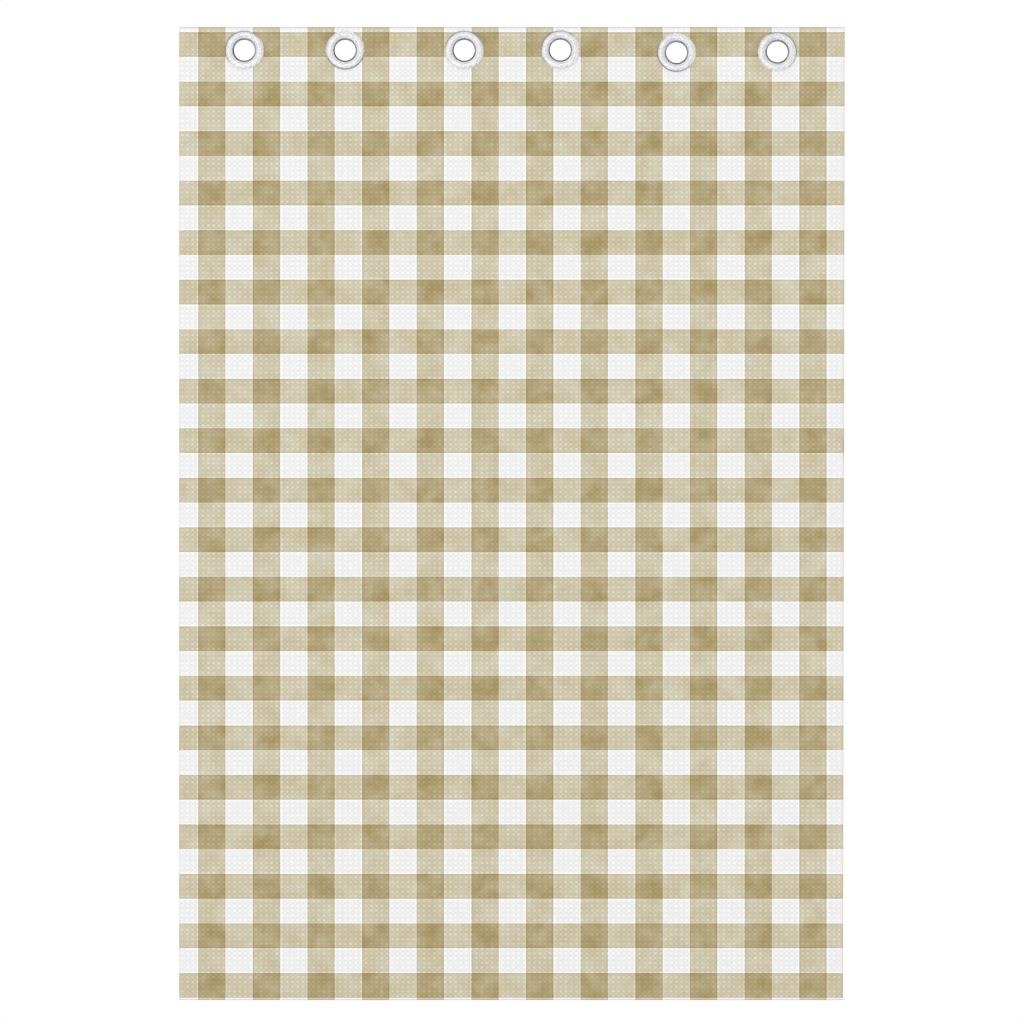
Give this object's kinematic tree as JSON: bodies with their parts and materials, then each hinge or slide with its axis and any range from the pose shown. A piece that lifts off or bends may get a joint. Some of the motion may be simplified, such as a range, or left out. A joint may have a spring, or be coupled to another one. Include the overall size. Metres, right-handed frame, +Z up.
{
  "type": "gingham eyelet curtain",
  "caption": "Flat rectangular panel of brown and white checked cloth with a doubled heading and domed metal eyelets along its top, which slides on a rod.",
  "frame": {"origin": "middle of the curtain's top edge, halfway through the doubled heading", "axes": "+Z up the drop of the curtain, +X across it to the right as seen from the front, +Y from the front to the back, so the front faces -Y"},
  "size_m": [1.067, 0.0088, 1.56],
  "materials": {
    "checked_cloth": "plain woven cotton in brown and white checks, matte",
    "eyelet_front": "polished bright nickel",
    "eyelet_back": "satin bright nickel"
  },
  "bodies": {
    "root": {"panel": "checked_cloth", "heading": "checked_cloth", "eyelet_1_front": "eyelet_front", "eyelet_2_front": "eyelet_front", "eyelet_3_front": "eyelet_front", "eyelet_4_front": "eyelet_front", "eyelet_5_front": "eyelet_front", "eyelet_6_front": "eyelet_front", "eyelet_1_back": "eyelet_back", "eyelet_2_back": "eyelet_back", "eyelet_3_back": "eyelet_back", "eyelet_4_back": "eyelet_back", "eyelet_5_back": "eyelet_back", "eyelet_6_back": "eyelet_back"}
  },
  "joints": []
}
